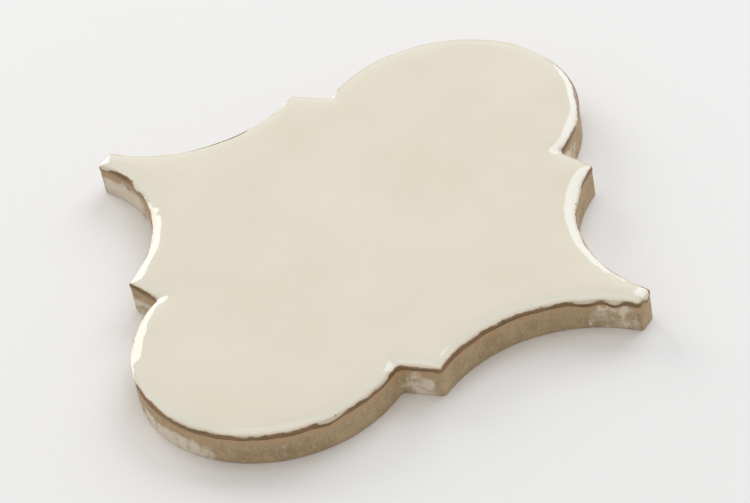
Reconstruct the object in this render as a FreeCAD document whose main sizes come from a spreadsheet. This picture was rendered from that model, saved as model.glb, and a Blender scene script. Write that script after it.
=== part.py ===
# Arabesque tile: one pressed clay tile, glazed on its face, lying on its back.
# The frame has +Z up. The origin is in the middle of the flat back, +X points to a tip and +Y to a lobe.
# Two round lobes lie on the Y axis and two blunt tips on the X axis. Between each lobe and each tip a round
# hollow takes the lobe of the next tile, so that like tiles cover a floor with an even joint between them.
# Where two tips meet end to end the joint is wider, because the ends are cut back a little.
import FreeCAD, Part
import enum
import math
import os
import Sketcher

NODE = "arabesque_tile"

# Driving dimensions, in millimetres and degrees.
DIMENSIONS = (
    ("across_points", 147.4, "from tip to tip"),
    ("across_lobes", 146.6, "from lobe to lobe"),
    ("lobe_radius", 32.2, "radius of each lobe"),
    ("tip_width", 5.7, "blunt end of each tip"),
    ("step_angle", 13.0, "fall of the short step between lobe and hollow"),
    ("joint_width", 1.7, "joint to the next tile along lobes, hollows and steps"),
    ("tip_joint", 4.3, "joint between two tips that meet end to end"),
    ("thickness", 9.0, "from the back to the middle of the face"),
    ("cushion_width", 2.0, "how far in from the rim the face starts to fall"),
    ("cushion_drop", 0.5, "how much lower the face is at the rim"),
)

# The four quarters of the outline: the sign of X, the sign of Y and the angle where the hollow's arc starts.
QUARTERS = (
    (1, 1, math.pi),
    (-1, 1, 1.5 * math.pi),
    (-1, -1, 0.0),
    (1, -1, 0.5 * math.pi),
)

LEVEL_TOLERANCE = 1e-5


class Axis(enum.IntEnum):
    """The numbers by which a sketch knows its own axes."""

    X = -1
    Y = -2


class At(enum.IntEnum):
    """The numbers by which a sketch knows the points of a curve. A point has a start only."""

    START = 1
    END = 2
    CENTRE = 3


ORIGIN = (Axis.X, At.START)


def vector(x, y, z=0.0):
    return FreeCAD.Vector(x, y, z)


def make_sheet(doc):
    """Write the driving dimensions to a sheet, one row each: alias, number and meaning."""
    sheet = doc.addObject("Spreadsheet::Sheet", "Dims")
    for row, (alias, value, meaning) in enumerate(DIMENSIONS, start=1):
        sheet.set(f"A{row}", alias)
        sheet.set(f"B{row}", str(value))
        sheet.set(f"C{row}", meaning)
        sheet.setAlias(f"B{row}", alias)
    doc.recompute()
    return sheet


def constrain(sketch, *terms, bound_to=None):
    """Add one constraint, and tie its value to the sheet where it has one."""
    index = sketch.addConstraint(Sketcher.Constraint(*terms))
    if bound_to:
        sketch.setExpression(f"Constraints[{index}]", bound_to)


def constrain_offset(sketch, axis, sign, point, value, bound_to):
    """Hold a point at a distance from the origin along X or Y, on the side that the sign gives."""
    ends = (ORIGIN, point) if sign > 0 else (point, ORIGIN)
    constrain(sketch, "Distance" + axis, *ends[0], *ends[1], value, bound_to=bound_to)


def draw_lobe(sketch, sheet, sign):
    """Draw the half round of one lobe, with its centre on the Y axis."""
    radius = sheet.lobe_radius
    middle = sheet.across_lobes / 2 - radius
    first = 0.0 if sign > 0 else math.pi
    circle = Part.Circle(vector(0.0, sign * middle), vector(0.0, 0.0, 1.0), radius)
    lobe = sketch.addGeometry(Part.ArcOfCircle(circle, first, first + math.pi), False)
    constrain(sketch, "PointOnObject", lobe, At.CENTRE, Axis.Y)
    constrain(sketch, "Radius", lobe, radius, bound_to="Dims.lobe_radius")
    reach = "Dims.across_lobes / 2 - Dims.lobe_radius"
    constrain_offset(sketch, "Y", sign, (lobe, At.CENTRE), middle, reach)
    return lobe


def draw_tip(sketch, sheet, sign):
    """Draw the blunt end of one tip, square to the X axis."""
    reach = sheet.across_points / 2
    half_width = sheet.tip_width / 2
    ends = (vector(sign * reach, -half_width), vector(sign * reach, half_width))
    tip = sketch.addGeometry(Part.LineSegment(*ends), False)
    constrain(sketch, "Symmetric", tip, At.START, tip, At.END, Axis.X)
    constrain(sketch, "DistanceY", tip, At.START, tip, At.END, sheet.tip_width, bound_to="Dims.tip_width")
    constrain_offset(sketch, "X", sign, (tip, At.END), reach, "Dims.across_points / 2")
    return tip


def draw_quarter(sketch, sheet, lobe, tip, sign_x, sign_y, first):
    """Draw the hollow and the short step that lead from a tip to a lobe, and join them to both."""
    joint = sheet.joint_width
    radius = sheet.lobe_radius + joint
    across = (sheet.across_points + sheet.tip_joint) / 2
    along = sheet.tip_width / 2 + math.sqrt(radius**2 - (sheet.tip_joint / 2) ** 2)
    lobe_along = sheet.across_lobes / 2 - sheet.lobe_radius
    corner_first = sign_x * sign_y > 0
    to_corner, to_tip = (At.START, At.END) if corner_first else (At.END, At.START)

    circle = Part.Circle(vector(sign_x * across, sign_y * along), vector(0.0, 0.0, 1.0), radius)
    hollow = sketch.addGeometry(Part.ArcOfCircle(circle, first, first + math.pi / 2), False)
    constrain(sketch, "Radius", hollow, radius, bound_to="Dims.lobe_radius + Dims.joint_width")
    middle = "(Dims.across_points + Dims.tip_joint) / 2"
    constrain_offset(sketch, "X", sign_x, (hollow, At.CENTRE), across, middle)

    # The step line runs towards +X in every quarter, so its first end is the lobe's only on the right.
    root = vector(sign_x * sheet.lobe_radius, sign_y * lobe_along)
    corner = vector(sign_x * (across - radius), sign_y * along)
    ends = (root, corner) if sign_x > 0 else (corner, root)
    step_root, step_corner = (At.START, At.END) if sign_x > 0 else (At.END, At.START)
    step = sketch.addGeometry(Part.LineSegment(*ends), False)

    constrain(sketch, "Coincident", hollow, to_tip, tip, At.END if sign_y > 0 else At.START)
    constrain(sketch, "Coincident", hollow, to_corner, step, step_corner)
    constrain(sketch, "Coincident", step, step_root, lobe, At.START if corner_first else At.END)

    # Tiles meet half-turned about the point midway between the two centres. The step keeps half a joint away.
    halfway = vector(sign_x * across / 2, sign_y * (along + lobe_along) / 2)
    pivot = sketch.addGeometry(Part.Point(halfway), True)
    constrain(sketch, "Symmetric", lobe, At.CENTRE, hollow, At.CENTRE, pivot, At.START)
    constrain(sketch, "Distance", pivot, At.START, step, joint / 2, bound_to="Dims.joint_width / 2")
    turn = "-" if corner_first else ""
    fall = math.copysign(math.radians(sheet.step_angle), -sign_x * sign_y)
    constrain(sketch, "Angle", step, fall, bound_to=f"{turn}Dims.step_angle * 1 deg")


def draw_outline(body, sheet):
    """Draw the closed outline of the tile on the plane of its back."""
    sketch = body.newObject("Sketcher::SketchObject", "outline")
    plane = next(plane for plane in body.Origin.OriginFeatures if plane.Role == "XY_Plane")
    sketch.AttachmentSupport = (plane, [""])
    sketch.MapMode = "FlatFace"
    lobes = {sign: draw_lobe(sketch, sheet, sign) for sign in (1, -1)}
    tips = {sign: draw_tip(sketch, sheet, sign) for sign in (1, -1)}
    for sign_x, sign_y, first in QUARTERS:
        draw_quarter(sketch, sheet, lobes[sign_y], tips[sign_x], sign_x, sign_y, first)
    return sketch


def edges_at(shape, level):
    """Name the edges that lie wholly at one height."""
    return [
        f"Edge{number}"
        for number, edge in enumerate(shape.Edges, start=1)
        if all(abs(corner.Z - level) < LEVEL_TOLERANCE for corner in edge.Vertexes)
    ]


def make_tile(doc, sheet):
    """Raise the outline to a slab, and let its face fall towards the rim."""
    body = doc.addObject("PartDesign::Body", "Tile")
    body.Label = NODE
    outline = draw_outline(body, sheet)
    slab = body.newObject("PartDesign::Pad", "slab")
    slab.Profile = outline
    slab.setExpression("Length", "Dims.thickness")
    doc.recompute()

    cushion = body.newObject("PartDesign::Chamfer", "cushion")
    cushion.Base = (slab, edges_at(slab.Shape, sheet.thickness))
    cushion.ChamferType = "Two distances"
    cushion.FlipDirection = True
    cushion.setExpression("Size", "Dims.cushion_width")
    cushion.setExpression("Size2", "Dims.cushion_drop")
    doc.recompute()

    body.Placement = FreeCAD.Placement()
    return body


def check(doc, parts):
    """Stop with a message where a feature failed or a solid isn't sound."""
    for item in doc.Objects:
        if {"Invalid", "Error"} & set(item.State):
            raise RuntimeError(f"{item.Name} failed: {item.State}")
    for part in parts:
        if part.Shape.isNull() or not part.Shape.isValid() or len(part.Shape.Solids) != 1:
            raise RuntimeError(f"{part.Label} is not one sound solid")


def main():
    doc = FreeCAD.newDocument("ArabesqueTile")
    sheet = make_sheet(doc)
    parts = [make_tile(doc, sheet)]
    doc.recompute()
    check(doc, parts)
    os.makedirs("parts", exist_ok=True)
    for part in parts:
        part.Shape.exportStep(f"parts/{part.Label}.step")
        print(f"{part.Label}: {part.Shape.Volume:.1f} cubic mm, {len(part.Shape.Faces)} faces")


main()
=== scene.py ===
"""Arabesque tile: one pressed clay tile with a cream glaze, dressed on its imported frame.

Units are metres. The frame has +Z up, the flat back at Z = 0, +X to one tip and +Y to one lobe.
"""
import logging
import math
from dataclasses import dataclass
from enum import Enum, IntEnum
from typing import Any, Mapping, Union

import bpy
import numpy as np
from mathutils import Euler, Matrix, Quaternion, Vector, noise
from mathutils.geometry import delaunay_2d_cdt
from mathutils.kdtree import KDTree


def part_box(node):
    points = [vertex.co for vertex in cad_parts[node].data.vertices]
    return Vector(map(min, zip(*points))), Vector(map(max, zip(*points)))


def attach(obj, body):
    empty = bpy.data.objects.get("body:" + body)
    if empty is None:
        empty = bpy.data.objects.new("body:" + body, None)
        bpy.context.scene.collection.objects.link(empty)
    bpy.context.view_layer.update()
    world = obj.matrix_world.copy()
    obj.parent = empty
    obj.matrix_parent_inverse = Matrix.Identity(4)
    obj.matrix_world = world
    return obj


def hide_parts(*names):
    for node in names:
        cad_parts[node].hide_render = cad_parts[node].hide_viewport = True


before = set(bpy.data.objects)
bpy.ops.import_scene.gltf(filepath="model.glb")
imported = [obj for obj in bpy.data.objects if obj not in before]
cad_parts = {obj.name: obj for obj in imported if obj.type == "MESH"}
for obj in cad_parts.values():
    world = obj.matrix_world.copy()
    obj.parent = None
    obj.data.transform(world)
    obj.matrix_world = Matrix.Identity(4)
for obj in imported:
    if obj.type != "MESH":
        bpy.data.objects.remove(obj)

LOG = logging.getLogger("arabesque_tile")
MM = 0.001
NODE = "arabesque_tile"
SLOT = "glazed_ceramic"
BODY = "root"
FILL_TOLERANCE = 1e-6

Tint = tuple[float, float, float]
Span = tuple[float, float]
Number = Union[float, "Signal"]
Stretch = Union["Arc", "Straight"]


class Layer(Enum):
    """The vertex layers that tell the finish where on the tile a point lies."""

    EDGE = "edge_mm"
    SAG = "sag_mm"
    BREAK = "break_mm"
    WASH = "wash"


class Fill(Enum):
    """Which triangles a filled ring keeps."""

    INSIDE = 1


class MixSocket(IntEnum):
    """The numbers of the sockets that a Mix node uses for colours."""

    SHARE = 0
    FIRST = 6
    SECOND = 7
    RESULT = 2


@dataclass(frozen=True)
class Unevenness:
    """A smooth seeded roughness: how high it stands and how far apart its rises are."""

    height: float
    spacing: float
    seed: int
    octaves: int = 2
    dimension: float = 1.0
    lacunarity: float = 2.0
    seed_stride: tuple[float, float, float] = (13.37, 7.91, 5.23)

    def at(self, points: np.ndarray) -> np.ndarray:
        """Read the roughness at points of a plane or of space.

        Args:
            points: Points of two or three coordinates.

        Returns:
            A height for each point, mostly between plus and minus the full height.
        """
        places = np.zeros((len(points), 3))
        places[:, : points.shape[1]] = points / self.spacing
        places += np.array(self.seed_stride) * self.seed
        settings = (self.dimension, self.lacunarity, self.octaves)
        return self.height * np.array([noise.fractal(Vector(place), *settings) for place in places])


@dataclass(frozen=True)
class Arc:
    """A round stretch of the outline, from one angle through a turn."""

    centre: tuple[float, float]
    radius: float
    begin: float
    turn: float

    def length(self) -> float:
        """Give the length of the stretch."""
        return self.radius * abs(self.turn)

    def points(self, share: np.ndarray) -> np.ndarray:
        """Give the points at shares of the stretch from 0 to 1.

        Args:
            share: The shares.

        Returns:
            A point for each.
        """
        angle = self.begin + self.turn * share
        return np.array(self.centre) + self.radius * np.column_stack([np.cos(angle), np.sin(angle)])

    def flipped(self) -> "Arc":
        """Mirror the stretch in the X axis and run it the other way."""
        return Arc((self.centre[0], -self.centre[1]), self.radius, -self.begin - self.turn, self.turn)

    def turned(self) -> "Arc":
        """Turn the stretch half round about the tile's middle."""
        return Arc((-self.centre[0], -self.centre[1]), self.radius, self.begin + math.pi, self.turn)

    def distance(self, points: np.ndarray) -> np.ndarray:
        """Measure how far points are from the stretch.

        Args:
            points: Points of the plane.

        Returns:
            A distance for each.
        """
        offset = points - np.array(self.centre)
        away = np.arctan2(offset[:, 1], offset[:, 0]) - (self.begin + self.turn / 2)
        away = np.abs((away + math.pi) % math.tau - math.pi)
        ends = self.points(np.array([0.0, 1.0]))
        to_ends = np.min([np.linalg.norm(points - end, axis=1) for end in ends], axis=0)
        to_line = np.abs(np.linalg.norm(offset, axis=1) - self.radius)
        return np.where(away <= abs(self.turn) / 2, to_line, to_ends)


@dataclass(frozen=True)
class Straight:
    """A straight stretch of the outline."""

    start: tuple[float, float]
    end: tuple[float, float]

    def length(self) -> float:
        """Give the length of the stretch."""
        return math.dist(self.start, self.end)

    def points(self, share: np.ndarray) -> np.ndarray:
        """Give the points at shares of the stretch from 0 to 1.

        Args:
            share: The shares.

        Returns:
            A point for each.
        """
        start, end = np.array(self.start), np.array(self.end)
        return start + (end - start) * share[:, None]

    def flipped(self) -> "Straight":
        """Mirror the stretch in the X axis and run it the other way."""
        return Straight((self.end[0], -self.end[1]), (self.start[0], -self.start[1]))

    def turned(self) -> "Straight":
        """Turn the stretch half round about the tile's middle."""
        return Straight((-self.start[0], -self.start[1]), (-self.end[0], -self.end[1]))

    def distance(self, points: np.ndarray) -> np.ndarray:
        """Measure how far points are from the stretch.

        Args:
            points: Points of the plane.

        Returns:
            A distance for each.
        """
        along = np.array(self.end) - np.array(self.start)
        share = (points - np.array(self.start)) @ along / float(along @ along)
        return np.linalg.norm(points - self.points(np.clip(share, 0.0, 1.0)), axis=1)


def inward_normals(points: np.ndarray) -> np.ndarray:
    """Find the directions that point into a clockwise outline.

    Args:
        points: The points of a closed outline.

    Returns:
        A direction of length one for each point.
    """
    ahead = np.roll(points, -1, axis=0) - np.roll(points, 1, axis=0)
    normal = np.column_stack([ahead[:, 1], -ahead[:, 0]])
    return normal / np.linalg.norm(normal, axis=1)[:, None]


def smooth_step(value: np.ndarray, low: float, high: float) -> np.ndarray:
    """Rise smoothly from 0 at a low value to 1 at a high one.

    Args:
        value: The values to grade.
        low: Where the rise starts.
        high: Where it ends.

    Returns:
        A grade for each value.
    """
    share = np.clip((value - low) / (high - low), 0.0, 1.0)
    return share * share * (3.0 - 2.0 * share)


@dataclass(frozen=True)
class Outline:
    """The tile's plan: two lobes, two blunt tips and the steps and hollows between them.

    Each hollow takes the lobe of a like tile, a joint's width away.
    The joint is wider where two tips meet.
    """

    across_points: float
    across_lobes: float
    lobe_radius: float = 32.2 * MM
    tip_width: float = 5.7 * MM
    step_angle: float = math.radians(13.0)
    joint_width: float = 1.7 * MM
    tip_joint: float = 4.3 * MM
    corner_softness: float = 0.66 * MM
    softness_reach: float = 4.0
    wander: Unevenness = Unevenness(0.11 * MM, 16.0 * MM, seed=1, octaves=3)
    trace_step: float = 0.1 * MM
    straight_pitch: float = 0.62 * MM
    turn_pitch: float = math.radians(7.0)

    def stretches(self) -> list[Stretch]:
        """Lay out the outline's stretches, clockwise from the step on the right of the +Y lobe.

        Returns:
            The twelve stretches.
        """
        joint = self.joint_width
        reach = self.across_points / 2
        lobe_centre = np.array([0.0, self.across_lobes / 2 - self.lobe_radius])
        hollow_radius = self.lobe_radius + joint
        rise = math.sqrt(hollow_radius**2 - (self.tip_joint / 2) ** 2)
        hollow_centre = np.array([reach + self.tip_joint / 2, self.tip_width / 2 + rise])
        along = np.array([math.cos(self.step_angle), -math.sin(self.step_angle)])
        inward = np.array([-math.sin(self.step_angle), -math.cos(self.step_angle)])
        through = (lobe_centre + hollow_centre) / 2 + inward * joint / 2
        root = self.cross(through, along, lobe_centre, self.lobe_radius, 1.0)
        corner = self.cross(through, along, hollow_centre, hollow_radius, -1.0)
        tip = np.array([reach, self.tip_width / 2])

        step = Straight(tuple(root), tuple(corner))
        first, last = (math.atan2(*(place - hollow_centre)[::-1]) for place in (corner, tip))
        turn = (last - first + math.pi) % math.tau - math.pi
        hollow = Arc(tuple(hollow_centre), hollow_radius, first, turn)
        end = Straight(tuple(tip), (reach, -self.tip_width / 2))
        dip = math.atan2(*(root - lobe_centre)[::-1])
        lobe = Arc(tuple(lobe_centre), self.lobe_radius, math.pi - dip, 2 * dip - math.pi)
        half = [step, hollow, end, hollow.flipped(), step.flipped(), lobe.turned()]
        return half + [stretch.turned() for stretch in half]

    @staticmethod
    def cross(
        through: np.ndarray, along: np.ndarray, centre: np.ndarray, radius: float, side: float
    ) -> np.ndarray:
        """Find where a line meets a circle.

        Args:
            through: A point on the line.
            along: The line's direction, of length one.
            centre: The circle's centre.
            radius: The circle's radius.
            side: 1 for the crossing further along the line, -1 for the nearer one.

        Returns:
            The crossing point.
        """
        offset = through - centre
        half = float(offset @ along)
        root = math.sqrt(half**2 - float(offset @ offset) + radius**2)
        return through + along * (side * root - half)

    def softened(self) -> np.ndarray:
        """Trace the outline with its corners rounded a little, wandering as pressed clay does.

        Returns:
            The points of the closed outline, a trace step apart, clockwise.
        """
        traced = []
        for stretch in self.stretches():
            count = max(2, round(stretch.length() / self.trace_step))
            traced.append(stretch.points(np.arange(count) / count))
        points = np.vstack(traced)
        reach = int(self.softness_reach * self.corner_softness / self.trace_step)
        steps = np.arange(-reach, reach + 1) * self.trace_step
        weight = np.exp(-0.5 * (steps / self.corner_softness) ** 2)
        weight /= weight.sum()
        wrapped = np.vstack([points[-reach:], points, points[:reach]])
        smooth = np.column_stack([np.convolve(wrapped[:, axis], weight, "valid") for axis in (0, 1)])
        drift = np.clip(self.wander.at(smooth), -self.wander.height, self.wander.height)
        return smooth + inward_normals(smooth) * (self.wander.height + drift)[:, None]

    def spaced(self, points: np.ndarray) -> np.ndarray:
        """Pick points so that both the distance and the turn between neighbours stay small.

        Args:
            points: A closed outline, traced finely.

        Returns:
            The picked points' numbers.
        """
        ahead = np.roll(points, -1, axis=0) - points
        heading = np.unwrap(np.arctan2(ahead[:, 1], ahead[:, 0]))
        turn = np.abs(np.diff(heading, append=heading[-1]))
        effort = np.cumsum(np.linalg.norm(ahead, axis=1) / self.straight_pitch + turn / self.turn_pitch)
        count = int(effort[-1])
        picks = np.searchsorted(effort, (np.arange(count) + 0.5) * effort[-1] / count)
        return np.unique(picks)


@dataclass(frozen=True)
class Face:
    """The height of the glazed face: level in the middle, falling to the rim, a little uneven."""

    stretches: tuple[Stretch, ...]
    thickness: float
    fall: float = 0.8 * MM
    fall_width: float = 2.4 * MM
    corner_blend: float = 4.0
    swell: Unevenness = Unevenness(0.016 * MM, 34.0 * MM, seed=2)
    rim_swell: Unevenness = Unevenness(0.14, 6.5 * MM, seed=3)
    probe: float = 0.02 * MM

    def height(self, points: np.ndarray) -> np.ndarray:
        """Give the height of the face.

        Args:
            points: Points of the plane.

        Returns:
            A height for each.
        """
        pull = self.corner_blend / self.fall_width
        near = sum(np.exp(-pull * stretch.distance(points)) for stretch in self.stretches)
        near = near ** (1.0 / self.corner_blend)
        fallen = self.fall * near * (1.0 + self.rim_swell.at(points))
        return self.thickness - self.swell.height - fallen + self.swell.at(points)

    def normals(self, points: np.ndarray) -> np.ndarray:
        """Give the directions square to the face.

        Args:
            points: Points of the plane.

        Returns:
            A direction of length one for each.
        """
        slopes = []
        for step in np.eye(2) * self.probe:
            slopes.append((self.height(points + step) - self.height(points - step)) / (2 * self.probe))
        square = np.column_stack([-slopes[0], -slopes[1], np.ones(len(points))])
        return square / np.linalg.norm(square, axis=1)[:, None]


def along_wall(outline: np.ndarray, bearing: float) -> np.ndarray:
    """Measure along the wall from the place that lies in a direction from the tile's middle.

    Args:
        outline: The points of the closed outline.
        bearing: The direction in degrees from +X towards +Y.

    Returns:
        How far each point is from that place, the shorter way round.
    """
    station = np.cumsum(np.linalg.norm(np.roll(outline, -1, axis=0) - outline, axis=1))
    bearings = np.arctan2(outline[:, 1], outline[:, 0]) - math.radians(bearing)
    home = station[np.argmin(np.abs((bearings + math.pi) % math.tau - math.pi))]
    half = station[-1] / 2
    return np.abs((station - home + half) % station[-1] - half)


@dataclass(frozen=True)
class Spot:
    """A place on the rim where the glaze or its brown edge reaches further, placed by its bearing."""

    bearing: float
    half_width: float
    reach: float

    def length(self, outline: np.ndarray) -> np.ndarray:
        """Say how much further it reaches.

        Args:
            outline: The points of the closed outline.

        Returns:
            A length for each point.
        """
        share = along_wall(outline, self.bearing) / self.half_width
        return self.reach * (1.0 - smooth_step(share, 0.0, 1.0))


def furthest(spots: tuple[Spot, ...], outline: np.ndarray) -> np.ndarray:
    """Say how far the furthest of several spots reaches.

    Args:
        spots: The spots.
        outline: The points of the closed outline.

    Returns:
        A length for each point.
    """
    return np.max([spot.length(outline) for spot in spots], axis=0)


@dataclass(frozen=True)
class Wash:
    """A stretch of the bare wall that is pale with a thin wash, placed by its bearing."""

    bearing: float
    half_width: float
    start: float = 2.2 * MM
    strength: float = 1.0
    softness: float = 1.3 * MM
    fade: Span = (0.2, 1.5)

    def cover(self, outline: np.ndarray, depth: np.ndarray) -> np.ndarray:
        """Say how much of the wall is pale.

        Args:
            outline: The points of the closed outline.
            depth: The depth below the rim of each wall point.

        Returns:
            A share for each wall point, 1 where the wash is full.
        """
        along = 1.0 - smooth_step(along_wall(outline, self.bearing) / self.half_width, *self.fade)
        down = smooth_step(depth, self.start - self.softness, self.start + self.softness)
        return self.strength * along * down


@dataclass(frozen=True)
class Cloud:
    """A noise that is 0 on average and mostly within half of its strength.

    Its spacing is how far apart its rises are, and its shift makes it another noise.
    """

    strength: float
    spacing: float
    detail: float = 2.0
    rough: float = 0.5
    shift: float = 0.0
    stretch: tuple[float, float, float] = (1.0, 1.0, 1.0)


class Signal:
    """A value that runs through a finish. Python's operators on it add Math nodes."""

    def __init__(self, graph: "Graph", socket: bpy.types.NodeSocket) -> None:
        """Wrap an output socket.

        Args:
            graph: The graph that the socket belongs to.
            socket: The output socket.
        """
        self.graph = graph
        self.socket = socket

    def __add__(self, other: Number) -> "Signal":
        """Add."""
        return self.graph.math("ADD", self, other)

    __radd__ = __add__

    def __sub__(self, other: Number) -> "Signal":
        """Take another value away from this one."""
        return self.graph.math("SUBTRACT", self, other)

    def __rsub__(self, other: Number) -> "Signal":
        """Take this value away from a number."""
        return self.graph.math("SUBTRACT", other, self)

    def __mul__(self, other: Number) -> "Signal":
        """Multiply."""
        return self.graph.math("MULTIPLY", self, other)

    __rmul__ = __mul__

    def rise(self, low: float, high: float) -> "Signal":
        """Rise smoothly from 0 at a low value to 1 at a high one.

        Args:
            low: Where the rise starts.
            high: Where it ends.

        Returns:
            The grade.
        """
        settings = {"interpolation_type": "SMOOTHSTEP"}
        inputs = {"Value": self, "From Min": low, "From Max": high}
        return self.graph.value("ShaderNodeMapRange", "Result", settings, inputs)

    def band(self, low: float, high: float, soft: float) -> "Signal":
        """Pick out a band of values.

        Args:
            low: The band's lower end.
            high: Its upper end.
            soft: How far its ends fade.

        Returns:
            1 in the band and 0 away from it.
        """
        return self.rise(low - soft, low + soft) * (1 - self.rise(high - soft, high + soft))


class Graph:
    """The node graph of one material."""

    def __init__(self, name: str) -> None:
        """Start an empty material.

        Args:
            name: The material's name.
        """
        self.material = bpy.data.materials.new(name)
        self.material.use_nodes = True
        self.tree = self.material.node_tree
        self.tree.nodes.clear()

    def node(
        self, kind: str, settings: Mapping[str, Any], inputs: Mapping[Union[int, str], Any]
    ) -> bpy.types.Node:
        """Add a node.

        Args:
            kind: The node's type.
            settings: Its settings, which are set first.
            inputs: The values or links of its sockets, by name or number.

        Returns:
            The node.
        """
        made = self.tree.nodes.new(kind)
        for name, setting in settings.items():
            setattr(made, name, setting)
        for key, source in inputs.items():
            socket = made.inputs[key]
            if isinstance(source, Signal):
                self.tree.links.new(source.socket, socket)
            elif isinstance(source, bpy.types.NodeSocket):
                self.tree.links.new(source, socket)
            elif socket.type == "RGBA":
                socket.default_value = (*source, 1.0)
            else:
                socket.default_value = source
        return made

    def value(
        self,
        kind: str,
        output: str,
        settings: Mapping[str, Any],
        inputs: Mapping[Union[int, str], Any],
    ) -> Signal:
        """Add a node and take a value from it.

        Args:
            kind: The node's type.
            output: The name of the output that is taken.
            settings: Its settings.
            inputs: The values or links of its sockets.

        Returns:
            The value.
        """
        return Signal(self, self.node(kind, settings, inputs).outputs[output])

    def math(self, operation: str, first: Number, second: Number) -> Signal:
        """Add a Math node.

        Args:
            operation: What it does.
            first: Its first value.
            second: Its second value.

        Returns:
            The outcome.
        """
        inputs = {0: first, 1: second}
        return self.value("ShaderNodeMath", "Value", {"operation": operation}, inputs)

    def layer(self, layer: Layer) -> Signal:
        """Read a vertex layer of the mesh.

        Args:
            layer: The layer.

        Returns:
            Its value.
        """
        settings = {"attribute_type": "GEOMETRY", "attribute_name": layer.value}
        return self.value("ShaderNodeAttribute", "Fac", settings, {})

    def cloud(self, cloud: Cloud) -> Signal:
        """Read a noise over the tile.

        Args:
            cloud: What the noise is like.

        Returns:
            The noise.
        """
        place = self.node("ShaderNodeTexCoord", {}, {}).outputs["Object"]
        inputs = {0: place, 1: cloud.stretch, 2: (cloud.shift, cloud.shift, cloud.shift)}
        moved = self.node("ShaderNodeVectorMath", {"operation": "MULTIPLY_ADD"}, inputs)
        inputs = {
            "Vector": moved.outputs["Vector"],
            "Scale": 1 / cloud.spacing,
            "Detail": cloud.detail,
            "Roughness": cloud.rough,
        }
        return (self.value("ShaderNodeTexNoise", "Fac", {}, inputs) - 0.5) * cloud.strength

    def blend(self, share: Signal, first: Any, second: Any) -> bpy.types.NodeSocket:
        """Blend two colours.

        Args:
            share: How much of the second colour there is.
            first: A colour or colour socket.
            second: Another.

        Returns:
            The blended colour.
        """
        inputs = {MixSocket.SHARE: share, MixSocket.FIRST: first, MixSocket.SECOND: second}
        settings = {"data_type": "RGBA", "clamp_factor": True}
        return self.node("ShaderNodeMix", settings, inputs).outputs[MixSocket.RESULT]

    def surface(self, inputs: Mapping[str, Any]) -> bpy.types.Material:
        """Close the graph with its shader.

        Args:
            inputs: The values and links of the shader's sockets.

        Returns:
            The material.
        """
        shader = self.node("ShaderNodeBsdfPrincipled", {}, inputs)
        self.node("ShaderNodeOutputMaterial", {}, {"Surface": shader.outputs["BSDF"]})
        return self.material


@dataclass(frozen=True)
class Grain:
    """How much a mark on the clay follows the clay's mottle, its streaks and its grit."""

    mottle: float
    streak: float
    grit: float


@dataclass(frozen=True)
class Marks:
    """The values that the glaze and the clay share."""

    edge: Signal
    line: Signal
    glazed: Signal
    broken: Signal
    mottle: Signal
    streak: Signal
    grit: Signal

    def grain(self, grain: Grain) -> Signal:
        """Mix the clay's mottle, streaks and grit."""
        return self.mottle * grain.mottle + self.streak * grain.streak + self.grit * grain.grit


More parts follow.
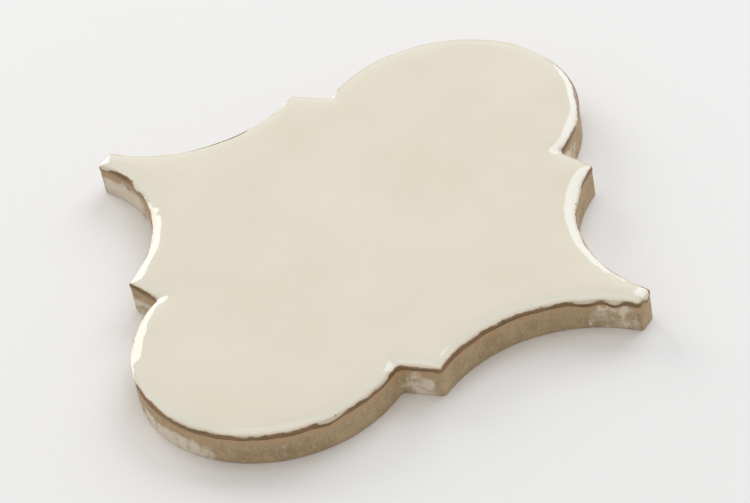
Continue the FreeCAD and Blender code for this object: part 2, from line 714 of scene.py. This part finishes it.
@dataclass(frozen=True)
class GlazedClay:
    """A glossy cream glaze that breaks to brown at the rim, over bare tan clay.

    Spans and strengths along the rim are in millimetres in from the edge, and below 0 down the wall.
    """

    cream: Tint = (0.84, 0.765, 0.615)
    cream_deep: Tint = (0.80, 0.725, 0.57)
    pale: Tint = (0.82, 0.79, 0.665)
    peach: Tint = (0.70, 0.54, 0.39)
    brown: Tint = (0.2, 0.114, 0.034)
    russet: Tint = (0.29, 0.152, 0.064)
    clay: Tint = (0.61, 0.465, 0.28)
    clay_deep: Tint = (0.37, 0.26, 0.145)
    clay_warm: Tint = (0.57, 0.37, 0.205)
    clay_wash: Tint = (0.84, 0.732, 0.58)

    glaze_foot: Span = (-0.88, -0.68)
    brown_top: Span = (0.02, 0.42)
    peach_top: Span = (0.3, 0.7)
    pale_rim: Span = (1.0, 2.6)
    warm_clay: Span = (-2.2, -0.5)
    freckled: Span = (-0.5, 0.4)
    freckle_size: Span = (0.17, 0.24)
    wash_edge: Span = (0.3, 1.25)
    pit_edge: Span = (-0.35, 0.1)
    blotch_edge: Span = (-0.5, 0.5)
    tint_edge: Span = (-0.4, 0.6)
    tone_edge: Span = (-0.5, 0.5)
    flush_edge: Span = (0.0, 1.0)

    peach_softness: float = 0.3
    pale_softness: float = 0.7
    warm_softness: float = 0.6
    freckled_softness: float = 0.2

    line_sway: Cloud = Cloud(0.8, 3.4 * MM)
    line_fray: Cloud = Cloud(0.3, 0.8 * MM, shift=0.3)
    line_spread: Cloud = Cloud(1.1, 8.0 * MM, shift=1.62)
    line_tint: Cloud = Cloud(3.0, 6.0 * MM, shift=1.9)
    freckles: Cloud = Cloud(1.0, 1.3 * MM, detail=1.0, shift=1.7)
    blotches: Cloud = Cloud(1.6, 17.0 * MM, detail=3.0, shift=0.7)
    mottle: Cloud = Cloud(1.0, 5.0 * MM, detail=5.0, rough=0.65, shift=0.9)
    streaks: Cloud = Cloud(1.0, 1.7 * MM, detail=4.0, rough=0.65, shift=0.5, stretch=(1.0, 1.0, 0.3))
    grit: Cloud = Cloud(1.0, 0.4 * MM, rough=0.6, shift=0.2)
    flush: Cloud = Cloud(2.6, 13.0 * MM, detail=3.0, shift=2.3)
    patches: Cloud = Cloud(2.6, 2.6 * MM, detail=3.0, rough=0.55, shift=2.1)
    peel: Cloud = Cloud(0.0012, 2.2 * MM, detail=1.0, shift=0.4)

    tone_grain: Grain = Grain(mottle=1.3, streak=0.7, grit=1.5)
    warm_grain: Grain = Grain(mottle=0.5, streak=1.6, grit=0.4)
    wash_grain: Grain = Grain(mottle=0.8, streak=1.2, grit=0.9)
    pit_grain: Grain = Grain(mottle=0.2, streak=0.6, grit=1.0)

    pale_share: float = 0.6
    peach_share: float = 0.75
    warm_share: float = 0.75
    flush_share: float = 0.45
    wash_weight: float = 1.15
    glaze_roughness: float = 0.04
    brown_roughness: float = 0.18
    clay_roughness: float = 0.88
    wash_roughness: float = 0.63
    pit_depth: float = 0.08
    wash_height: float = 0.03
    glaze_height: float = 0.1
    refraction: float = 1.52

    def material(self) -> bpy.types.Material:
        """Make the material.

        Returns:
            The material.
        """
        graph = Graph(SLOT)
        marks = self.marks(graph)
        wash = self.wash(graph, marks)
        glaze, clay = self.glaze_colour(graph, marks), self.clay_colour(graph, marks, wash)

        gloss = self.glaze_roughness + marks.broken * (self.brown_roughness - self.glaze_roughness)
        bare = self.clay_roughness + wash * (self.wash_roughness - self.clay_roughness)
        glazed_relief = graph.cloud(self.peel) + self.glaze_height
        pits = marks.grain(self.pit_grain).rise(*self.pit_edge)
        bare_relief = pits * self.pit_depth + wash * self.wash_height
        relief = bare_relief + marks.glazed * (glazed_relief - bare_relief)
        bump = graph.node("ShaderNodeBump", {}, {"Strength": 1.0, "Distance": MM, "Height": relief})
        return graph.surface(
            {
                "Base Color": graph.blend(marks.glazed, clay, glaze),
                "Roughness": bare + marks.glazed * (gloss - bare),
                "IOR": self.refraction,
                "Normal": bump.outputs["Normal"],
            }
        )

    def marks(self, graph: Graph) -> Marks:
        """Find the line where the glaze ends, and the clay's grain.

        Args:
            graph: The material's graph.

        Returns:
            The values that the glaze and the clay share.
        """
        edge = graph.layer(Layer.EDGE)
        line = edge + graph.layer(Layer.SAG) + graph.cloud(self.line_sway) + graph.cloud(self.line_fray)
        top = line + graph.cloud(self.line_spread) - graph.layer(Layer.BREAK)
        broken = 1 - top.rise(*self.brown_top)
        freckled = edge.band(*self.freckled, self.freckled_softness)
        freckles = graph.cloud(self.freckles).rise(*self.freckle_size) * freckled
        return Marks(
            edge=edge,
            line=line,
            glazed=line.rise(*self.glaze_foot),
            broken=graph.math("MAXIMUM", broken, freckles),
            mottle=graph.cloud(self.mottle),
            streak=graph.cloud(self.streaks),
            grit=graph.cloud(self.grit),
        )

    def wash(self, graph: Graph, marks: Marks) -> Signal:
        """Find where a thin pale wash lies on the clay, in patches.

        Args:
            graph: The material's graph.
            marks: The values that the glaze and the clay share.

        Returns:
            The wash's share from 0 to 1.
        """
        cover = graph.layer(Layer.WASH) * self.wash_weight
        return (cover + marks.grain(self.wash_grain) + graph.cloud(self.patches)).rise(*self.wash_edge)

    def glaze_colour(self, graph: Graph, marks: Marks) -> bpy.types.NodeSocket:
        """Colour the glaze: cream, paler near the rim, and brown where it breaks over the edge.

        Args:
            graph: The material's graph.
            marks: The values that the glaze and the clay share.

        Returns:
            The colour.
        """
        blotches = graph.cloud(self.blotches).rise(*self.blotch_edge)
        pale = marks.edge.band(*self.pale_rim, self.pale_softness) * self.pale_share
        peach = marks.line.band(*self.peach_top, self.peach_softness) * self.peach_share
        tint = graph.cloud(self.line_tint).rise(*self.tint_edge)
        colour = graph.blend(blotches, self.cream, self.cream_deep)
        colour = graph.blend(pale, colour, self.pale)
        colour = graph.blend(peach, colour, self.peach)
        return graph.blend(marks.broken, colour, graph.blend(tint, self.brown, self.russet))

    def clay_colour(self, graph: Graph, marks: Marks, wash: Signal) -> bpy.types.NodeSocket:
        """Colour the clay: tan and gritty, warm under the glaze's edge, pale where it is washed.

        Args:
            graph: The material's graph.
            marks: The values that the glaze and the clay share.
            wash: The wash's share.

        Returns:
            The colour.
        """
        tone = marks.grain(self.tone_grain).rise(*self.tone_edge)
        flush = graph.cloud(self.flush).rise(*self.flush_edge) * self.flush_share
        below = marks.line + marks.grain(self.warm_grain)
        warm = below.band(*self.warm_clay, self.warm_softness) * self.warm_share
        colour = graph.blend(tone, self.clay, self.clay_deep)
        colour = graph.blend(graph.math("MAXIMUM", warm, flush), colour, self.clay_warm)
        return graph.blend(wash, colour, self.clay_wash)


@dataclass(frozen=True)
class PaleFloor:
    """The floor's plain pale finish."""

    colour: Tint = (0.88, 0.86, 0.828)
    roughness: float = 0.6

    def material(self) -> bpy.types.Material:
        """Make the material."""
        return Graph("pale_floor").surface({"Base Color": self.colour, "Roughness": self.roughness})


class MeshMaker:
    """Gathers rings and fills into one mesh."""

    def __init__(self) -> None:
        """Start with nothing."""
        self.points: list[np.ndarray] = []
        self.faces: list[tuple[int, ...]] = []
        self.count = 0

    def add(self, points: np.ndarray) -> np.ndarray:
        """Add points.

        Args:
            points: Their places.

        Returns:
            Their numbers.
        """
        numbers = np.arange(self.count, self.count + len(points))
        self.points.append(points)
        self.count += len(points)
        return numbers

    def bridge(self, lower: np.ndarray, upper: np.ndarray) -> None:
        """Join two clockwise rings of as many points with four-sided faces that look outward.

        Args:
            lower: The numbers of the lower ring.
            upper: The numbers of the upper ring.
        """
        rows = zip(lower, upper, np.roll(upper, -1), np.roll(lower, -1))
        self.faces.extend(tuple(int(corner) for corner in row) for row in rows)

    def fill(self, ring: np.ndarray, inside: np.ndarray, plan: np.ndarray, upward: bool) -> None:
        """Fill a ring with triangles through points inside it.

        Args:
            ring: The ring's numbers.
            inside: The numbers of the points inside it.
            plan: The places of both in the plane, the ring first.
            upward: Whether the triangles look up or down.
        """
        numbers = np.concatenate([ring, inside])
        places = [Vector(place) for place in plan / MM]
        edges = [(at, (at + 1) % len(ring)) for at in range(len(ring))]
        filled = delaunay_2d_cdt(places, edges, [], Fill.INSIDE.value, FILL_TOLERANCE)
        _, _, faces, origins, _, _ = filled
        for face in faces:
            corners = [int(numbers[origins[corner][0]]) for corner in face]
            self.faces.append(tuple(corners if upward else corners[::-1]))

    def mesh(self, name: str) -> bpy.types.Mesh:
        """Make the mesh.

        Args:
            name: Its name.

        Returns:
            The mesh, shaded smooth.
        """
        mesh = bpy.data.meshes.new(name)
        mesh.from_pydata(np.vstack(self.points).tolist(), [], self.faces)
        mesh.polygons.foreach_set("use_smooth", [True] * len(mesh.polygons))
        mesh.update()
        return mesh


@dataclass(frozen=True)
class Tile:
    """The tile: its wall, rim and face as one skin, and its finish."""

    outline: Outline
    face: Face
    finish: GlazedClay
    sags: tuple[Spot, ...]
    breaks: tuple[Spot, ...]
    washes: tuple[Wash, ...]
    foot_radius: float = 0.25 * MM
    foot_steps: int = 4
    back_inset: float = 0.33 * MM
    back_pitch: float = 5.0 * MM
    wall_steps: int = 15
    wall_set_back: float = 0.13 * MM
    wall_grain: Unevenness = Unevenness(0.07 * MM, 3.4 * MM, seed=4, octaves=3)
    lip_depth: float = 0.9 * MM
    lip_edge: Span = (0.35, 1.15)
    lip_wander: Unevenness = Unevenness(0.35 * MM, 4.0 * MM, seed=5)
    rim_radius: float = 0.55 * MM
    rim_turn: float = math.radians(71.0)
    rim_steps: int = 7
    fill_margin: float = 0.75 * MM
    fine_pitch: float = 0.55 * MM
    fine_width: float = 4.6 * MM

    def build(self) -> bpy.types.Object:
        """Build the skin, dress it and put it in the node's place.

        Returns:
            The tile.
        """
        traced = self.outline.softened()
        picks = self.outline.spaced(traced)
        line, inward = traced[picks], inward_normals(traced)[picks]
        maker = MeshMaker()
        layers: dict[Layer, list[np.ndarray]] = {layer: [] for layer in Layer}

        rows = self.side_rows(line, inward, layers)
        rings = [maker.add(row) for row in rows]
        for lower, upper in zip(rings, rings[1:]):
            maker.bridge(lower, upper)

        inside, away, nearest = self.inside_points(traced, self.fine_pitch, self.fine_width)
        heights = self.face.height(inside)
        top = maker.add(np.column_stack([inside, heights]))
        maker.fill(rings[-1], top, np.vstack([rows[-1][:, :2], inside]), True)
        layers[Layer.EDGE].append(away / MM)
        layers[Layer.BREAK].append(furthest(self.breaks, traced)[nearest] / MM)

        behind, depth, _ = self.inside_points(traced, self.back_pitch, 0.0)
        low = maker.add(np.column_stack([behind, np.zeros(len(behind))]))
        maker.fill(rings[0], low, np.vstack([rows[0][:, :2], behind]), False)
        layers[Layer.EDGE].append(-(self.face.thickness + depth) / MM)
        layers[Layer.BREAK].append(np.zeros(len(behind)))
        for layer in (Layer.SAG, Layer.WASH):
            layers[layer].append(np.zeros(len(inside) + len(behind)))

        mesh = maker.mesh(NODE + "_skin")
        for layer, values in layers.items():
            attribute = mesh.attributes.new(layer.value, "FLOAT", "POINT")
            attribute.data.foreach_set("value", np.concatenate(values).astype(np.float32))
        normals = np.array([normal.vector for normal in mesh.vertex_normals])
        normals[top] = self.face.normals(inside)
        mesh.normals_split_custom_set_from_vertices(normals.tolist())
        mesh.materials.append(self.finish.material())
        return self.placed(bpy.data.objects.new(NODE + "_skin", mesh))

    @staticmethod
    def placed(tile: bpy.types.Object) -> bpy.types.Object:
        """Put the tile on its body, in the place of its node.

        Args:
            tile: The tile.

        Returns:
            The same tile.
        """
        bpy.context.scene.collection.objects.link(tile)
        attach(tile, BODY)
        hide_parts(NODE)
        return tile

    def side_rows(
        self, line: np.ndarray, inward: np.ndarray, layers: dict[Layer, list[np.ndarray]]
    ) -> list[np.ndarray]:
        """Lay out the rings from the back up the wall and over the rim.

        Args:
            line: The outline's points.
            inward: The direction into the tile at each.
            layers: The vertex layers, to which the rings' values are added.

        Returns:
            The rings' places.
        """
        turn = np.linspace(0.0, self.rim_turn, self.rim_steps)
        rim_inset = self.rim_radius * (1.0 - np.cos(turn))
        rim_rise = self.rim_radius * np.sin(turn)
        crest = self.face.height(line + inward * rim_inset[-1])
        wall_top = crest - rim_rise[-1]
        zero = np.zeros(len(line))

        levels = [(self.back_inset + zero, zero, 1.0 + zero)]
        for angle in np.linspace(0.0, math.pi / 2, self.foot_steps):
            inset = self.foot_radius * (1.0 - math.sin(angle))
            levels.append((inset + zero, self.foot_radius * (1.0 - math.cos(angle)) + zero, 1.0 + zero))
        for share in np.arange(1, self.wall_steps) / self.wall_steps:
            height = self.foot_radius + (wall_top - self.foot_radius) * share
            levels.append((zero, height, 1.0 + zero))
        for inset, rise in zip(rim_inset, rim_rise):
            levels.append((inset + zero, wall_top + rise, zero))

        rows = []
        sag, broken = furthest(self.sags, line), furthest(self.breaks, line)
        lip = self.lip_depth + self.lip_wander.at(line) + sag
        for inset, height, bare in levels:
            depth = wall_top - height
            place = np.column_stack([line, height])
            back = smooth_step(depth / lip, *self.lip_edge) * bare
            pressed = back * (self.wall_set_back + self.wall_grain.at(place))
            rows.append(np.column_stack([line + inward * (inset + pressed)[:, None], height]))
            covers = [wash.cover(line, depth) for wash in self.washes]
            layers[Layer.EDGE].append(np.where(depth > 0.0, -depth, inset) / MM)
            layers[Layer.SAG].append(sag / MM)
            layers[Layer.BREAK].append(broken / MM)
            layers[Layer.WASH].append(np.max(covers, axis=0) * bare)
        return rows

    def inside_points(
        self, traced: np.ndarray, pitch: float, fine_width: float
    ) -> tuple[np.ndarray, np.ndarray, np.ndarray]:
        """Spread points over the plan, closer together near the rim.

        Args:
            traced: The outline, traced finely.
            pitch: The distance between neighbours near the rim, which is half of that elsewhere.
            fine_width: How far in from the rim the points are close.

        Returns:
            The points, their distances from the outline and the numbers of its nearest points.
        """
        tree = KDTree(len(traced))
        for number, place in enumerate(traced):
            tree.insert((*place, 0.0), number)
        tree.balance()
        inward = inward_normals(traced)
        rise = pitch * math.sqrt(3.0) / 2.0
        half_size = np.abs(traced).max(axis=0)
        across, along = (int(extent / step) + 1 for extent, step in zip(half_size, (pitch, rise)))
        keep, away, nearest = [], [], []
        for row in range(-along, along + 1):
            for column in range(-across, across + 1):
                place = np.array([(column + 0.5 * (row % 2)) * pitch, row * rise])
                _, number, distance = tree.find((*place, 0.0))
                if distance < self.fill_margin or (place - traced[number]) @ inward[number] < 0.0:
                    continue
                if distance > fine_width > 0.0 and (row % 2 or column % 2):
                    continue
                keep.append(place)
                away.append(distance)
                nearest.append(number)
        return np.array(keep), np.array(away), np.array(nearest)


def bearing_vector(azimuth: float, elevation: float) -> Vector:
    """Point from the tile in a direction.

    Args:
        azimuth: The angle in degrees from -Y towards +X.
        elevation: The angle in degrees above the floor.

    Returns:
        A direction of length one.
    """
    turn, lift = math.radians(azimuth), math.radians(elevation)
    return Vector((math.sin(turn) * math.cos(lift), -math.cos(turn) * math.cos(lift), math.sin(lift)))


def looking_back(away: Vector, roll: float) -> Euler:
    """Turn a light or camera so that it looks back along a direction.

    Args:
        away: The direction from the tile.
        roll: The turn about its own line of sight in degrees.

    Returns:
        The rotation.
    """
    level = (-away).to_track_quat("-Z", "Y")
    tilt = Quaternion((0.0, 0.0, 1.0), math.radians(roll))
    return (level @ tilt).to_euler()


@dataclass(frozen=True)
class Softbox:
    """A soft rectangular light that faces the tile."""

    name: str
    azimuth: float
    elevation: float
    distance: float
    width: float
    height: float
    radiance: float
    colour: Tint = (1.0, 1.0, 1.0)
    roll: float = 0.0

    def build(self) -> bpy.types.Object:
        """Hang the light.

        Returns:
            The light.
        """
        light = bpy.data.lights.new(self.name, "AREA")
        light.shape = "RECTANGLE"
        light.size, light.size_y = self.width, self.height
        light.energy = self.radiance * math.pi * self.width * self.height
        light.color = self.colour
        lamp = bpy.data.objects.new(self.name, light)
        away = bearing_vector(self.azimuth, self.elevation)
        lamp.location = away * self.distance
        lamp.rotation_euler = looking_back(away, self.roll)
        lamp.visible_camera = False
        bpy.context.scene.collection.objects.link(lamp)
        return lamp


@dataclass(frozen=True)
class Camera:
    """The camera, placed by its direction from what it looks at."""

    target: tuple[float, float, float] = (2.9 * MM, -0.8 * MM, 1.5 * MM)
    azimuth: float = 37.49
    elevation: float = 39.65
    roll: float = -11.63
    distance: float = 0.7285
    lens: float = 150.0
    sensor: float = 36.0

    def build(self) -> bpy.types.Object:
        """Place the camera and make it the scene's own.

        Returns:
            The camera.
        """
        data = bpy.data.cameras.new("camera")
        data.lens = self.lens
        data.sensor_width = self.sensor
        camera = bpy.data.objects.new("camera", data)
        away = bearing_vector(self.azimuth, self.elevation)
        camera.location = Vector(self.target) + away * self.distance
        camera.rotation_euler = looking_back(away, self.roll)
        bpy.context.scene.collection.objects.link(camera)
        bpy.context.scene.camera = camera
        return camera


@dataclass(frozen=True)
class Studio:
    """The floor, the soft light round the tile, and the camera."""

    floor: PaleFloor
    softboxes: tuple[Softbox, ...]
    camera: Camera
    floor_size: float = 12.0
    floor_level: float = -0.02 * MM
    sky: Tint = (1.0, 1.0, 1.0)
    sky_strength: float = 0.52

    def build(self) -> None:
        """Lay the floor, hang the lights and place the camera."""
        half = self.floor_size / 2
        square = ((-half, -half), (half, -half), (half, half), (-half, half))
        corners = [(*place, self.floor_level) for place in square]
        mesh = bpy.data.meshes.new("floor")
        mesh.from_pydata(corners, [], [(0, 1, 2, 3)])
        mesh.materials.append(self.floor.material())
        floor = bpy.data.objects.new("floor", mesh)
        bpy.context.scene.collection.objects.link(floor)

        world = bpy.data.worlds.new("studio_air")
        world.use_nodes = True
        background = world.node_tree.nodes["Background"]
        background.inputs["Color"].default_value = (*self.sky, 1.0)
        background.inputs["Strength"].default_value = self.sky_strength
        bpy.context.scene.world = world
        bpy.context.scene.view_settings.view_transform = "Standard"

        for softbox in self.softboxes:
            softbox.build()
        self.camera.build()


# Where the glaze runs further down the wall: the bearing, the half width along the wall and the reach.
SAGS = (
    Spot(-5.6, 4.0 * MM, 0.8 * MM),
    Spot(-3.2, 2.6 * MM, 1.0 * MM),
    Spot(0.6, 1.8 * MM, 1.3 * MM),
    Spot(-66.0, 4.0 * MM, 0.5 * MM),
    Spot(-112.5, 8.5 * MM, 1.5 * MM),
    Spot(-143.0, 3.0 * MM, 0.9 * MM),
    Spot(-173.5, 4.0 * MM, 0.7 * MM),
    Spot(150.0, 5.0 * MM, 1.2 * MM),
    Spot(84.0, 7.0 * MM, 0.9 * MM),
    Spot(30.0, 5.0 * MM, 1.0 * MM),
)

# Where the brown line reaches further in from the rim, given in the same way.
BREAKS = (
    Spot(-175.0, 11.0 * MM, 0.75 * MM),
    Spot(-134.5, 6.0 * MM, 0.45 * MM),
    Spot(-101.0, 9.0 * MM, 0.6 * MM),
    Spot(2.0, 5.0 * MM, 0.5 * MM),
    Spot(66.0, 12.0 * MM, 0.5 * MM),
    Spot(160.0, 12.0 * MM, 0.6 * MM),
)

# Where the wall is pale: the bearing, the half width, the depth where it starts and the strength.
WASHES = (
    Wash(-3.2, 5.5 * MM, 1.2 * MM, 0.7),
    Wash(-46.0, 4.2 * MM, 1.8 * MM, 0.85),
    Wash(-97.0, 14.0 * MM, 3.2 * MM, 1.1),
    Wash(-134.5, 5.5 * MM, 3.0 * MM),
    Wash(-176.0, 11.0 * MM, 2.6 * MM, 1.2),
    Wash(172.0, 9.0 * MM),
    Wash(134.5, 4.6 * MM, 1.8 * MM),
    Wash(104.0, 15.0 * MM),
    Wash(50.0, 8.0 * MM, 1.8 * MM),
    Wash(14.0, 10.0 * MM),
)

SOFTBOXES = (
    Softbox(
        "softbox_back",
        azimuth=176.6,
        elevation=35.1,
        distance=2.4,
        width=1.74,
        height=1.55,
        radiance=2.7,
        colour=(0.88, 0.965, 1.1),
        roll=7.3,
    ),
    Softbox(
        "softbox_left",
        azimuth=247.0,
        elevation=19.0,
        distance=2.6,
        width=1.5,
        height=1.36,
        radiance=3.85,
        roll=-17.0,
    ),
    Softbox(
        "softbox_top",
        azimuth=180.0,
        elevation=84.0,
        distance=3.0,
        width=3.0,
        height=2.0,
        radiance=0.86,
    ),
)


def main() -> None:
    """Build the tile and the studio in order."""
    logging.basicConfig(level=logging.INFO)
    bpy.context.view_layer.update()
    lowest, highest = (Vector(corner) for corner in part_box(NODE))
    size = highest - lowest
    outline = Outline(size.x, size.y)
    face = Face(tuple(outline.stretches()), size.z)
    tile = Tile(outline, face, GlazedClay(), SAGS, BREAKS, WASHES).build()
    LOG.info("%s: %d points, %d faces", tile.name, len(tile.data.vertices), len(tile.data.polygons))
    Studio(PaleFloor(), SOFTBOXES, Camera()).build()
    LOG.info("studio: floor, %d softboxes and camera", len(SOFTBOXES))


if __name__ == "__main__":
    main()
